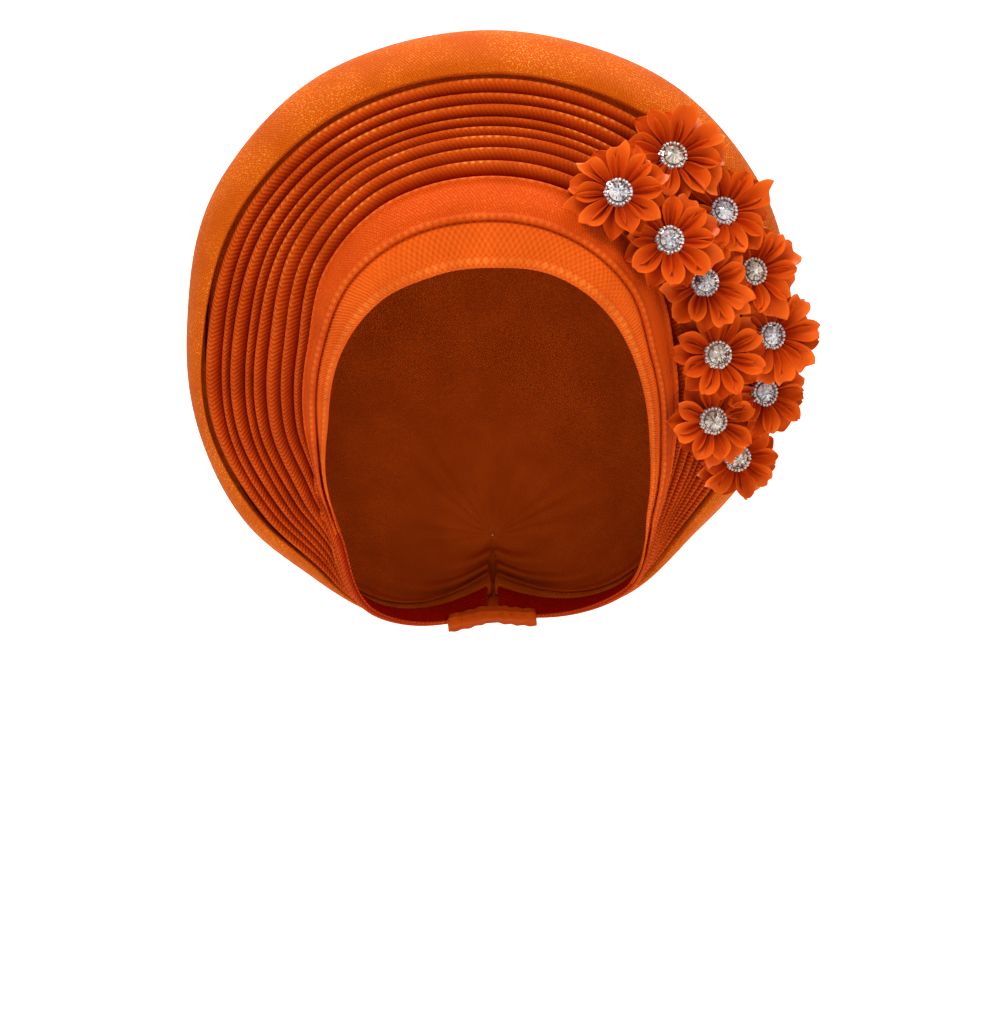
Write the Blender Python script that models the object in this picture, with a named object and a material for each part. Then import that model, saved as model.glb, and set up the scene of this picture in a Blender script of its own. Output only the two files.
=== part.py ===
"""A tied gele head tie: two forehead bands, a fan of eight pleats, a broad rim, a plain back and flowers.

Metres, +Z up, the face opening toward -Y and the wearer's left toward +X. The origin is the middle of the
head at the height of the brow. Every cloth piece follows one surface, which runs round the face from the
nape, up over the forehead and back down to the nape.
"""
import math

import bmesh
import bpy
import numpy as np
from mathutils import Vector
from mathutils.bvhtree import BVHTree

# Driving sizes of the cloth: the hem's radius over the forehead, how far the face's centre lies below the
# origin, the fan's radius over the forehead, the depth that the tables take shares of, and where the nape is
FACE_RADIUS = 0.0566
FACE_DROP = 0.015
FAN_RADIUS = 0.167
TIE_DEPTH = 0.190
NAPE_DROP = 0.075
NAPE_SETBACK = 0.097

# Cloth walls, and the gap between pieces that lie on each other
BAND_WALL = 0.0025
UPPER_BAND_WALL = 0.0022
PLEAT_WALL = 0.0015
RIM_WALL = 0.0020
BACK_WALL = 0.0016
WRAP_WALL = 0.0022
CLEARANCE = 0.0003

# Heights of the folds, and the folds of the gathered back
PLEAT_HEIGHT = 0.0050
RIM_LIFT = 0.0075
BACK_FOLD_HEIGHT = 0.0040
BACK_FOLDS = 3

# Flowers and their brooches. FLOWER_GAP is half the gap between petals of neighbours, and FLOWER_SEAT the
# gap under a flower.
FLOWER_REACH = 0.0210
FLOWER_GAP = 0.0005
FLOWER_SEAT = 0.0005
PETALS = 8
PETAL_LIFT = 0.0042
PETAL_SHEET = 0.0013
PETAL_CREST = 0.45
HUB_RADIUS = 0.0062
HUB_HEIGHT = 0.0034
BROOCH_RADIUS = 0.0061
BROOCH_HEIGHT = 0.0036
BROOCH_SIDES = 10

# Cross sections round the face. Turn is in degrees, 90 over the forehead, and the ends meet at the nape.
# The hem is a share of FACE_RADIUS and the top of FAN_RADIUS. Crease, band and inner are shares of the way
# between them. Bands is how much of the two bands shows, fullness is the height of the pleats, and padding
# is how full the rim is.
SECTION_COLUMNS = ("turn", "hem", "crease", "band", "inner", "top", "bands", "fullness", "padding")
SECTIONS = (
    (268.0, 1.72, 0.10, 0.22, 0.72, 0.500, 0.00, 0.36, 0.25),
    (240.0, 1.95, 0.10, 0.24, 0.76, 0.662, 0.00, 0.55, 0.25),
    (221.0, 1.64, 0.04, 0.10, 0.79, 0.698, 0.00, 0.80, 0.50),
    (204.0, 1.47, 0.03, 0.08, 0.87, 0.755, 0.72, 0.95, 0.60),
    (184.0, 1.30, 0.08, 0.16, 0.93, 0.810, 1.00, 1.00, 0.55),
    (164.0, 1.24, 0.10, 0.18, 0.89, 0.862, 1.00, 1.00, 0.60),
    (139.0, 1.15, 0.17, 0.30, 0.83, 0.955, 1.00, 1.00, 0.85),
    (115.0, 1.04, 0.20, 0.36, 0.81, 0.996, 1.00, 1.00, 1.00),
    (90.0, 1.00, 0.20, 0.37, 0.81, 1.000, 1.00, 1.00, 1.00),
    (65.0, 1.05, 0.18, 0.35, 0.81, 0.987, 1.00, 1.00, 1.00),
    (41.0, 1.10, 0.16, 0.30, 0.81, 0.936, 1.00, 1.00, 1.00),
    (16.0, 1.15, 0.10, 0.24, 0.81, 0.838, 1.00, 1.00, 1.00),
    (-9.0, 1.26, 0.10, 0.23, 0.82, 0.744, 1.00, 0.95, 0.90),
    (-33.0, 1.51, 0.14, 0.26, 0.80, 0.655, 0.72, 0.75, 0.70),
    (-54.0, 1.86, 0.10, 0.22, 0.70, 0.636, 0.00, 0.55, 0.35),
    (-88.0, 1.72, 0.10, 0.22, 0.72, 0.500, 0.00, 0.36, 0.25),
)

# Lines along the cloth, from the hem outward and over to the back. Place is the coordinate across the
# cloth, and front and tail are how far behind the head's middle the line lies at its top and at the nape, as
# shares of TIE_DEPTH.
LINE_COLUMNS = ("place", "front", "tail")
LINES = {
    "hem": (0.0, -0.463, 0.32),
    "crease": (1.0, -0.426, 0.34),
    "band": (2.0, -0.368, 0.36),
    "middle": (2.5, -0.292, 0.39),
    "inner": (3.0, -0.237, 0.42),
    "top": (4.0, -0.126, 0.46),
    "turned": (5.0, 0.032, 0.50),
}
TURNED_SHARE = 0.972
DEPTH_POWER = 1.3

# Places across the cloth where the bands' facets meet. The upper band begins where the forehead band is
# still under it.
FOREHEAD_PLACES = (0.0, 0.35, 0.93, 1.15)
UPPER_PLACES = (0.93, 1.15, 1.60, 2.0)

# The pleats from the upper band to the rim: each one's share of the width and of PLEAT_HEIGHT. Each has a
# shoulder on both sides. The fan's foot is flat for FOOT_FLAT of the width and goes FOOT_TUCK under the
# band.
PLEAT_COLUMNS = ("width", "height")
PLEATS = (
    (0.095, 0.66),
    (0.114, 1.00),
    (0.124, 1.05),
    (0.107, 0.90),
    (0.097, 1.00),
    (0.127, 1.05),
    (0.103, 0.90),
    (0.116, 0.95),
)
PLEAT_SHOULDER = 0.26
FOOT_TUCK = 0.08
FOOT_FLAT = 0.058

# The rim's section, from its rolled inner edge over the top: place across the cloth and share of RIM_LIFT
RIM_COLUMNS = ("place", "lift")
RIM_SECTION = (
    (3.08, 0.00),
    (3.04, 0.40),
    (3.06, 0.82),
    (3.19, 1.00),
    (3.50, 0.92),
    (3.80, 0.56),
    (4.00, 0.18),
    (4.40, 0.00),
    (5.00, 0.00),
)

# The back: where its edge starts under the turned rim, and the ways along it from there to the nape
BACK_TUCK_PLACE = 4.7
BACK_FIRST = 0.06
BACK_CLOSE = 0.993

# The strip over the nape: how many degrees it goes to each side, where it crosses the cloth's places and
# the back's ways, and what lies under it at each of them
WRAP_SPREAD = 10.0
WRAP_COLUMNS = ("place", "under")
WRAP_FRONT = (
    (0.0, "foot"),
    (0.2, "fan"),
    (1.2, "fan"),
    (2.7, "fan"),
    (3.1, "rim"),
    (3.6, "rim"),
    (4.2, "turned"),
    (5.0, "turned"),
)
WRAP_BACK_WAYS = (0.25, 0.50, 0.70, 0.88)

# Flowers: across and up are shares of FAN_RADIUS, reach is a share of FLOWER_REACH, spin turns the petals
# in degrees, and side and rise lean the flower's face to the wearer's left and upward.
FLOWER_COLUMNS = ("across", "up", "reach", "spin", "side", "rise")
FLOWERS = (
    (0.326, 0.449, 1.00, 8.0, 0.05, 0.20),
    (0.474, 0.559, 1.05, 30.0, 0.15, 0.25),
    (0.609, 0.419, 1.00, 15.0, 0.28, 0.18),
    (0.461, 0.332, 1.00, 0.0, 0.10, 0.10),
    (0.558, 0.230, 0.96, 20.0, 0.18, 0.05),
    (0.690, 0.264, 0.98, 5.0, 0.40, 0.10),
    (0.746, 0.099, 1.00, 12.0, 0.38, 0.00),
    (0.599, 0.043, 0.96, 28.0, 0.15, 0.00),
    (0.732, -0.051, 0.94, 3.0, 0.40, -0.05),
    (0.595, -0.128, 0.92, 18.0, 0.15, -0.10),
    (0.670, -0.222, 0.88, 10.0, 0.28, -0.30),
)

# Half a petal's outline in four steps from its tip: shares of the reach, of PETAL_LIFT and of HUB_HEIGHT
PETAL_COLUMNS = ("reach", "arch", "tip")
PETAL_OUTLINE = (
    (1.00, 1.00, 0.90),
    (0.92, 0.90, 0.80),
    (0.74, 0.55, 0.60),
    (0.92, 0.90, 0.80),
)

# A brooch's rings from its back to the stone's table: shares of BROOCH_RADIUS and BROOCH_HEIGHT
BROOCH_COLUMNS = ("radius", "height")
BROOCH_PROFILE = (
    (0.86, 0.00),
    (1.00, 0.30),
    (0.93, 0.62),
    (0.74, 0.46),
    (0.66, 0.62),
    (0.34, 1.00),
)

# The ends of the turn at the nape and its top, how finely the faceted solids follow the cloth, and the
# steps that its normals are read over
TAIL_ENDS = (268.0, -88.0)
TOP_TURN = 90.0
STATIONS = 34
BAND_STATIONS = slice(5, -4)
BACK_FOLD_STEPS = 3
WRAP_STATIONS = 7
LENGTH_SAMPLES = 61
SEAT_SAMPLES = 7
TURN_STEP = 0.5
PLACE_STEP = 0.01


def table(columns, rows):
    """A table's columns by name, as arrays."""
    return {name: np.array([row[i] for row in rows], float) for i, name in enumerate(columns)}


def even_slopes(knots, values):
    """Slopes at the knots that let the curve through them neither dip nor overshoot."""
    gaps = np.diff(knots).reshape([-1] + [1] * (values.ndim - 1))
    runs = np.diff(values, axis=0) / gaps
    before, after = runs[:-1], runs[1:]
    same = before * after > 0
    total = np.where(same, before + after, 1.0)
    slopes = np.zeros_like(values)
    slopes[1:-1] = np.where(same, 2 * before * after / total, 0.0)
    slopes[0], slopes[-1] = runs[0], runs[-1]
    return slopes


def smooth(knots, values, at):
    """A smooth curve through the values at rising knots, read at the places given."""
    knots, values, at = np.asarray(knots, float), np.asarray(values, float), np.asarray(at, float)
    slopes = even_slopes(knots, values)
    i = np.clip(np.searchsorted(knots, at) - 1, 0, len(knots) - 2)
    span = knots[i + 1] - knots[i]
    t = (at - knots[i]) / span
    if values.ndim > 1:
        span, t = span[..., None], t[..., None]
    start = (2 * t**3 - 3 * t**2 + 1) * values[i] + (t**3 - 2 * t**2 + t) * span * slopes[i]
    end = (3 * t**2 - 2 * t**3) * values[i + 1] + (t**3 - t**2) * span * slopes[i + 1]
    return start + end


def section(turn):
    """The section table read at the turns given."""
    columns = table(SECTION_COLUMNS, SECTIONS)
    knots = columns["turn"][::-1]
    return {name: smooth(knots, column[::-1], turn) for name, column in columns.items()}


def away_from_top(turn):
    """How far round from the top the turns lie: 0 over the forehead, 1 at the nape."""
    return np.abs(np.asarray(turn, float) - TOP_TURN) / (TAIL_ENDS[0] - TOP_TURN)


def line_place(name):
    return LINES[name][LINE_COLUMNS.index("place")]


def line(name, turn):
    """Points of one line along the cloth at the turns given."""
    shares = section(turn)
    hem = FACE_RADIUS * shares["hem"]
    top = FAN_RADIUS * shares["top"] - BACK_WALL - CLEARANCE - RIM_WALL
    middle = (shares["band"] + shares["inner"]) / 2
    ways = {"hem": 0.0, "crease": shares["crease"], "band": shares["band"], "middle": middle,
            "inner": shares["inner"], "top": 1.0, "turned": 1.0}
    radius = hem + (top - hem) * ways[name]
    if name == "turned":
        radius = radius * TURNED_SHARE
    front = LINES[name][LINE_COLUMNS.index("front")]
    tail = LINES[name][LINE_COLUMNS.index("tail")]
    way = away_from_top(turn) ** DEPTH_POWER
    depth = TIE_DEPTH * (front + (tail - front) * way**2 * (3 - 2 * way))
    angle = np.radians(turn)
    return np.stack([radius * np.cos(angle), depth, radius * np.sin(angle) - FACE_DROP], -1)


def cloth(turn, place):
    """Points of the cloth's base surface: one row for each turn, one column for each place across."""
    turn = np.asarray(turn, float)
    lines = np.stack([line(name, turn) for name in LINES])
    knots = [line_place(name) for name in LINES]
    place = np.broadcast_to(place, (len(turn), np.shape(place)[-1]))
    rows = [smooth(knots, lines[:, i], place[i]) for i in range(len(turn))]
    return np.stack(rows)


def unit(vectors):
    return vectors / np.linalg.norm(vectors, axis=-1, keepdims=True)


def normals(grid):
    """Unit normals of a grid of points, pointing away from the head."""
    return unit(np.cross(np.gradient(grid, axis=0), np.gradient(grid, axis=1)))


def lifted(turn, place, lift):
    """The cloth's base surface moved out along its normals by the lifts given."""
    turn = np.asarray(turn, float)
    base = cloth(turn, place)
    place = np.broadcast_to(place, base.shape[:2])
    along = cloth(turn - TURN_STEP, place) - cloth(turn + TURN_STEP, place)
    across = cloth(turn, place + PLACE_STEP) - cloth(turn, place - PLACE_STEP)
    return base + unit(np.cross(along, across)) * np.broadcast_to(lift, base.shape[:2])[..., None]


def evenly(turn, start, end, ways):
    """Places between start and end that split the cloth's own length at each turn in the ways given."""
    places = []
    for one_turn, low, high in zip(turn, start, end):
        fine = np.linspace(low, high, LENGTH_SAMPLES)
        points = cloth([one_turn], fine[None])[0]
        length = np.concatenate([[0.0], np.cumsum(np.linalg.norm(np.diff(points, axis=0), axis=1))])
        places.append(np.interp(ways, length / length[-1], fine))
    return np.array(places)


def material(name, color, roughness, metallic=0.0):
    made = bpy.data.materials.new(name)
    made.use_nodes = True
    shader = made.node_tree.nodes["Principled BSDF"]
    shader.inputs["Base Color"].default_value = (*color, 1.0)
    shader.inputs["Roughness"].default_value = roughness
    shader.inputs["Metallic"].default_value = metallic
    return made


def add_mesh(name, points, faces, finish, smooth_angle=40.0):
    """One closed body as a named object, with its faces pointing out."""
    mesh = bpy.data.meshes.new(name)
    mesh.from_pydata([tuple(p) for p in points], [], faces)
    shell = bmesh.new()
    shell.from_mesh(mesh)
    bmesh.ops.recalc_face_normals(shell, faces=shell.faces)
    shell.to_mesh(mesh)
    shell.free()
    mesh.shade_smooth()
    mesh.set_sharp_from_angle(angle=math.radians(smooth_angle))
    mesh.materials.append(finish)
    made = bpy.data.objects.new(name, mesh)
    bpy.context.collection.objects.link(made)
    return made


def grid_faces(rows, columns, start=0, turned=False):
    """Quads of a grid whose points are numbered row by row from start."""
    faces = []
    for i in range(rows - 1):
        for j in range(columns - 1):
            a = start + i * columns + j
            quad = (a, a + 1, a + columns + 1, a + columns)
            faces.append(quad[::-1] if turned else quad)
    return faces


def rim_of_grid(rows, columns):
    """Point numbers round the edge of a grid, in order."""
    first = list(range(columns))
    right = [i * columns + columns - 1 for i in range(1, rows)]
    last = [(rows - 1) * columns + j for j in range(columns - 2, -1, -1)]
    left = [i * columns for i in range(rows - 2, 0, -1)]
    return first + right + last + left


def cloth_wall(name, grid, wall, finish):
    """A closed wall of even thickness whose middle surface is the grid."""
    rows, columns = grid.shape[:2]
    out = normals(grid) * wall / 2
    outer = (grid + out).reshape(-1, 3)
    inner = (grid - out).reshape(-1, 3)
    count = rows * columns
    faces = grid_faces(rows, columns, turned=True)
    faces += grid_faces(rows, columns, start=count)
    loop = rim_of_grid(rows, columns)
    for a, b in zip(loop, loop[1:] + loop[:1]):
        faces.append((a, b, b + count, a + count))
    return add_mesh(name, np.concatenate([outer, inner]), faces, finish)


def band_places(turn, places):
    """Places across the bands, drawn in where the pleats sweep over them at the cheeks."""
    return np.outer(section(turn)["bands"], places)


def forehead_band(finish):
    """The band on the forehead, from its hem up under the upper band."""
    turn = np.linspace(*TAIL_ENDS, STATIONS)[BAND_STATIONS]
    places = band_places(turn, FOREHEAD_PLACES)
    return cloth_wall("forehead_band", lifted(turn, places, BAND_WALL / 2), BAND_WALL, finish)


def upper_band(finish):
    """The second band, whose lower edge lies on the first one's upper edge."""
    turn = np.linspace(*TAIL_ENDS, STATIONS)[BAND_STATIONS]
    places = band_places(turn, UPPER_PLACES)
    lift = BAND_WALL + CLEARANCE + UPPER_BAND_WALL / 2
    return cloth_wall("upper_band", lifted(turn, places, lift), UPPER_BAND_WALL, finish)


def pleat_profile():
    """Ways across the fan and heights of the folds, from the foot under the band to the rim."""
    ways, heights = [0.0, FOOT_FLAT], [0.0, 0.0]
    start = FOOT_FLAT
    pleats = table(PLEAT_COLUMNS, PLEATS)
    for width, height in zip(pleats["width"], pleats["height"]):
        ways += [start + PLEAT_SHOULDER * width, start + (1 - PLEAT_SHOULDER) * width, start + width]
        heights += [height, height, 0.0]
        start += width
    ways.append(1.0)
    heights.append(0.0)
    return np.array(ways), np.array(heights)


def pleated_fan(finish):
    """The pleats between the bands and the rim, which run on down to the nape past the bands' ends."""
    turn = np.linspace(*TAIL_ENDS, STATIONS)
    shares = section(turn)
    bands = np.clip(shares["bands"], 0.0, 1.0)[:, None]
    ways, heights = pleat_profile()
    foot = line_place("band") * bands
    places = evenly(turn, foot[:, 0], np.full(len(turn), line_place("inner")), ways)
    lift = PLEAT_WALL / 2 + PLEAT_HEIGHT * shares["fullness"][:, None] * heights
    tuck_place = foot - FOOT_TUCK
    tuck_lift = PLEAT_WALL / 2 + (BAND_WALL - PLEAT_WALL) * bands
    places = np.hstack([tuck_place, places])
    lift = np.hstack([tuck_lift, lift])
    return cloth_wall("pleated_fan", lifted(turn, places, lift), PLEAT_WALL, finish)


def rim_seat():
    """How far the rim lies off the base surface, on the fan's end and the back's edge."""
    return max(PLEAT_WALL, BACK_WALL) + CLEARANCE


def outer_rim(finish):
    """The broad padded rim, rolled at its inner edge and turned over to the back."""
    turn = np.linspace(*TAIL_ENDS, STATIONS)
    rim = table(RIM_COLUMNS, RIM_SECTION)
    seat = rim_seat() + RIM_WALL / 2
    lift = seat + RIM_LIFT * section(turn)["padding"][:, None] * rim["lift"]
    return cloth_wall("outer_rim", lifted(turn, rim["place"], lift), RIM_WALL, finish)


def back_surface(turn, ways):
    """The back of the cloth: from the turned rim a quarter ellipse in to the nape."""
    rim = line("turned", turn)[:, None]
    pole = np.array([0.0, NAPE_SETBACK, -NAPE_DROP])
    angle = np.asarray(ways) * math.pi / 2
    inward = np.cos(angle)[None, :, None]
    back = np.sin(angle)[None, :, None]
    grid = pole + (rim - pole) * inward
    grid[..., 1] = (rim + (pole - rim) * back)[..., 1]
    return grid


def back_drape(finish):
    """The back, from its edge under the turned rim to the nape, where it gathers in folds."""
    turn = np.linspace(*TAIL_ENDS, STATIONS)
    across = np.linspace(0.0, 1.0, BACK_FOLD_STEPS * BACK_FOLDS + 1)
    ways = np.concatenate([[0.0], BACK_FIRST + (BACK_CLOSE - BACK_FIRST) * across])
    grid = np.concatenate([cloth(turn, [BACK_TUCK_PLACE]), back_surface(turn, ways)], axis=1)
    fold = np.concatenate([[0.0, 0.0], np.sin(math.pi * BACK_FOLDS * across) ** 2])
    gathered = away_from_top(turn)[:, None] ** 3
    lift = BACK_WALL / 2 + BACK_FOLD_HEIGHT * gathered * fold
    return cloth_wall("back_drape", grid + normals(grid) * lift[..., None], BACK_WALL, finish)


def nape_wrap(finish):
    """A strip over the gathered ends, from the hem at the nape up past the middle of the back's folds."""
    spread = np.linspace(WRAP_SPREAD, -WRAP_SPREAD, WRAP_STATIONS)
    turn = np.where(spread < 0, TAIL_ENDS[0] + spread, TAIL_ENDS[1] + spread)
    shares = section(turn)
    front = dict(zip(WRAP_COLUMNS, zip(*WRAP_FRONT)))
    grid = np.concatenate([cloth(turn, front["place"]), back_surface(turn, WRAP_BACK_WAYS)], axis=1)
    top = {"foot": np.full(len(turn), PLEAT_WALL),
           "fan": PLEAT_WALL + PLEAT_HEIGHT * max(height for _, height in PLEATS) * shares["fullness"],
           "rim": rim_seat() + RIM_WALL + RIM_LIFT * shares["padding"],
           "turned": np.full(len(turn), rim_seat() + RIM_WALL),
           "back": np.full(len(turn), BACK_WALL + BACK_FOLD_HEIGHT)}
    under = list(front["under"]) + ["back"] * len(WRAP_BACK_WAYS)
    lift = np.stack([top[name] for name in under], -1) + 3 * CLEARANCE + WRAP_WALL / 2
    return cloth_wall("nape_wrap", grid + normals(grid) * lift[..., None], WRAP_WALL, finish)


def flower_axes(side, rise):
    """The flower's own right, up and outward directions in the world."""
    out = Vector((side, -1.0, rise)).normalized()
    right = Vector((0.0, 0.0, 1.0)).cross(out).normalized()
    right = -right if right.x < 0 else right
    up = out.cross(right).normalized()
    up = -up if up.z < 0 else up
    return np.array(right), np.array(up), np.array(out)


def free_reach(centre, others, ray, rise, wanted):
    """How far a petal goes along its ray before it meets the flower beside it, seen from the front."""
    reach = wanted
    for other in others:
        between = other - centre
        distance = np.linalg.norm(between)
        toward = between / distance
        slope = ray[[0, 2]] @ toward
        if slope > 0:
            reach = min(reach, (distance / 2 - FLOWER_GAP - rise[[0, 2]] @ toward) / slope)
    return reach


def flower_points(flower, centre, others):
    """Rings of one satin flower about its own seat: hub below, hub above, crest and tips of the petals."""
    right, up, out = flower_axes(flower["side"], flower["rise"])
    outline = table(PETAL_COLUMNS, PETAL_OUTLINE)
    steps = len(PETAL_OUTLINE)
    rings = []
    for k in range(steps * PETALS):
        angle = math.radians(flower["spin"]) + 2 * math.pi * k / (steps * PETALS)
        ray = right * math.cos(angle) + up * math.sin(angle)
        part = k % steps
        tip_height = HUB_HEIGHT * outline["tip"][part]
        tip_wanted = FLOWER_REACH * flower["reach"] * outline["reach"][part]
        tip_reach = free_reach(centre, others, ray, out * tip_height, tip_wanted)
        crest_height = HUB_HEIGHT - PETAL_SHEET + PETAL_LIFT * outline["arch"][part]
        crest_wanted = HUB_RADIUS + PETAL_CREST * (tip_reach - HUB_RADIUS)
        crest_reach = free_reach(centre, others, ray, out * crest_height, crest_wanted)
        rings.append([ray * HUB_RADIUS, ray * HUB_RADIUS + out * HUB_HEIGHT,
                      ray * crest_reach + out * crest_height, ray * tip_reach + out * tip_height])
    return np.array(rings).transpose(1, 0, 2)


def flower_faces():
    """Faces of a flower: flat hub faces, then the petals' tops and their backs."""
    count = len(PETAL_OUTLINE) * PETALS
    faces = [tuple(range(count)), tuple(range(2 * count - 1, count - 1, -1))]
    for low, high in ((1, 2), (2, 3), (3, 0)):
        for k in range(count):
            after = (k + 1) % count
            faces.append((low * count + k, low * count + after, high * count + after, high * count + k))
    return faces


def samples_below(rings):
    """Points along a flower's under side, closely spaced, to find where it first meets the cloth."""
    foot, tip = rings[0], rings[3]
    steps = np.linspace(0.0, 1.0, SEAT_SAMPLES)[:, None, None]
    spokes = foot * (1 - steps) + tip * steps
    halfway = (spokes + np.roll(spokes, 1, axis=1)) / 2
    return np.concatenate([spokes.reshape(-1, 3), halfway.reshape(-1, 3), foot * 0.5, foot * 0.0])


def seat_depth(points, trees):
    """How far back along Y the points can move before the first of them meets the cloth."""
    distances = []
    for point in points:
        for tree in trees:
            hit = tree.ray_cast(Vector(point), Vector((0.0, 1.0, 0.0)))
            if hit[0] is not None:
                distances.append(hit[3])
    return min(distances)


def solid_tree(made):
    mesh = made.data
    points = [made.matrix_world @ v.co for v in mesh.vertices]
    return BVHTree.FromPolygons(points, [tuple(p.vertices) for p in mesh.polygons])


def flowers(carriers, finish):
    """Each flower pushed back until it rests on the cloth, its petals cut short where the next one begins."""
    trees = [solid_tree(made) for made in carriers]
    placed = [dict(zip(FLOWER_COLUMNS, row)) for row in FLOWERS]
    centres = [FAN_RADIUS * np.array([flower["across"], flower["up"]]) for flower in placed]
    seats = []
    for index, (flower, centre) in enumerate(zip(placed, centres)):
        rings = flower_points(flower, centre, centres[:index] + centres[index + 1:])
        start = np.array([centre[0], -TIE_DEPTH, centre[1]])
        depth = seat_depth(samples_below(rings) + start, trees) - FLOWER_SEAT
        seat = start + np.array([0.0, depth, 0.0])
        name = f"flower_{index + 1:02d}"
        add_mesh(name, (rings + seat).reshape(-1, 3), flower_faces(), finish)
        seats.append(seat)
    return seats


def brooches(seats, finish):
    """A round setting with one faceted stone in the middle of each flower."""
    count = BROOCH_SIDES
    profile = table(BROOCH_COLUMNS, BROOCH_PROFILE)
    last = len(BROOCH_PROFILE) - 1
    for index, (row, seat) in enumerate(zip(FLOWERS, seats)):
        flower = dict(zip(FLOWER_COLUMNS, row))
        right, up, out = flower_axes(flower["side"], flower["rise"])
        base = seat + out * (HUB_HEIGHT + CLEARANCE)
        points = []
        for radius, height in zip(BROOCH_RADIUS * profile["radius"], BROOCH_HEIGHT * profile["height"]):
            for k in range(count):
                angle = 2 * math.pi * k / count
                ray = right * math.cos(angle) + up * math.sin(angle)
                points.append(base + radius * ray + out * height)
        faces = [tuple(range(count)), tuple(range(last * count, (last + 1) * count))]
        for ring in range(last):
            for k in range(count):
                a, b = ring * count + k, ring * count + (k + 1) % count
                faces.append((a, b, b + count, a + count))
        add_mesh(f"brooch_{index + 1:02d}", points, faces, finish, smooth_angle=10.0)


for old in list(bpy.data.objects):
    bpy.data.objects.remove(old, do_unlink=True)

forehead_cloth = material("orange band cloth", (0.86, 0.13, 0.006), 0.72)
band_cloth = material("red orange band cloth", (0.70, 0.08, 0.004), 0.72)
pleat_cloth = material("orange pleated cloth", (0.66, 0.10, 0.004), 0.70)
rim_cloth = material("gold shot rim cloth", (0.76, 0.17, 0.010), 0.62)
back_cloth = material("orange back cloth", (0.68, 0.11, 0.005), 0.74)
wrap_cloth = material("orange nape cloth", (0.60, 0.09, 0.004), 0.74)
satin = material("orange satin ribbon", (0.90, 0.09, 0.004), 0.35)
silver = material("silver setting and stone", (0.80, 0.79, 0.80), 0.18, 0.9)

forehead = forehead_band(forehead_cloth)
upper = upper_band(band_cloth)
fan = pleated_fan(pleat_cloth)
rim = outer_rim(rim_cloth)
back = back_drape(back_cloth)
nape_wrap(wrap_cloth)
flower_seats = flowers([upper, fan, rim], satin)
brooches(flower_seats, silver)
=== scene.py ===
import math

import bmesh
import bpy
import numpy as np
from mathutils import Matrix, Vector


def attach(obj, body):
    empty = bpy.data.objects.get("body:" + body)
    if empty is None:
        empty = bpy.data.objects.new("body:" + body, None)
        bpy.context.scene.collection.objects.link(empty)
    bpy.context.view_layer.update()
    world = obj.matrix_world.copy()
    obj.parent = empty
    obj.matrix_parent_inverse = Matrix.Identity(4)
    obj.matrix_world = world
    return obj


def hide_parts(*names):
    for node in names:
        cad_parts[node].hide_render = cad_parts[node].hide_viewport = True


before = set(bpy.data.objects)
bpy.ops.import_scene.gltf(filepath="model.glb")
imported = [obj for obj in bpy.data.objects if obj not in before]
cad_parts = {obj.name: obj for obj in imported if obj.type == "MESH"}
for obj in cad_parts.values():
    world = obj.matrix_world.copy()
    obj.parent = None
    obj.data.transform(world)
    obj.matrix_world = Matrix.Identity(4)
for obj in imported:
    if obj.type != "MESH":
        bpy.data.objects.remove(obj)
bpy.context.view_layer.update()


# Forehead band
# The first turn of the head tie, laid round the brow. It is a stiff polyester brocade with gold thread, and
# its hem is folded under in a soft roll. Its upper edge goes under the second band and is pinned there.
FACE_RADIUS = 0.0566
FACE_DROP = 0.015
FAN_RADIUS = 0.167
TIE_DEPTH = 0.190
BAND_WALL = 0.0025
BACK_WALL = 0.0016
RIM_WALL = 0.0020
CLEARANCE = 0.0003
TURNED_SHARE = 0.972
DEPTH_POWER = 1.3
TOP_TURN = 90.0
TAIL_ENDS = (268.0, -88.0)
BAND_ENDS = (219.0, -51.5)
STATIONS = 300
TURN_STEP = 0.5
PLACE_STEP = 0.01
CLOTH = 0.0007
BAND_TAPER = 0.008
BAND_STATIONS = 240

# Cross sections round the face, with turns in degrees from +X. The hem is a share of FACE_RADIUS and the top
# of FAN_RADIUS. Crease, band and inner are shares of the way between them. Bands is how much of the two bands
# shows, fullness is the height of the pleats, and padding is how full the rim is.
SECTION_COLUMNS = ("turn", "hem", "crease", "band", "inner", "top", "bands", "fullness", "padding")
SECTIONS = (
    (268.0, 1.72, 0.10, 0.22, 0.72, 0.500, 0.00, 0.36, 0.25),
    (240.0, 1.95, 0.10, 0.24, 0.76, 0.662, 0.00, 0.55, 0.25),
    (221.0, 1.64, 0.04, 0.10, 0.79, 0.698, 0.00, 0.80, 0.50),
    (204.0, 1.47, 0.03, 0.08, 0.87, 0.755, 0.72, 0.95, 0.60),
    (184.0, 1.30, 0.08, 0.16, 0.93, 0.810, 1.00, 1.00, 0.55),
    (164.0, 1.24, 0.10, 0.18, 0.89, 0.862, 1.00, 1.00, 0.60),
    (139.0, 1.15, 0.17, 0.30, 0.83, 0.955, 1.00, 1.00, 0.85),
    (115.0, 1.04, 0.20, 0.36, 0.81, 0.996, 1.00, 1.00, 1.00),
    (90.0, 1.00, 0.20, 0.37, 0.81, 1.000, 1.00, 1.00, 1.00),
    (65.0, 1.05, 0.18, 0.35, 0.81, 0.987, 1.00, 1.00, 1.00),
    (41.0, 1.10, 0.16, 0.30, 0.81, 0.936, 1.00, 1.00, 1.00),
    (16.0, 1.15, 0.10, 0.24, 0.81, 0.838, 1.00, 1.00, 1.00),
    (-9.0, 1.26, 0.10, 0.23, 0.82, 0.744, 1.00, 0.95, 0.90),
    (-33.0, 1.51, 0.14, 0.26, 0.80, 0.655, 0.72, 0.75, 0.70),
    (-54.0, 1.86, 0.10, 0.22, 0.70, 0.636, 0.00, 0.55, 0.35),
    (-88.0, 1.72, 0.10, 0.22, 0.72, 0.500, 0.00, 0.36, 0.25),
)

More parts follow.
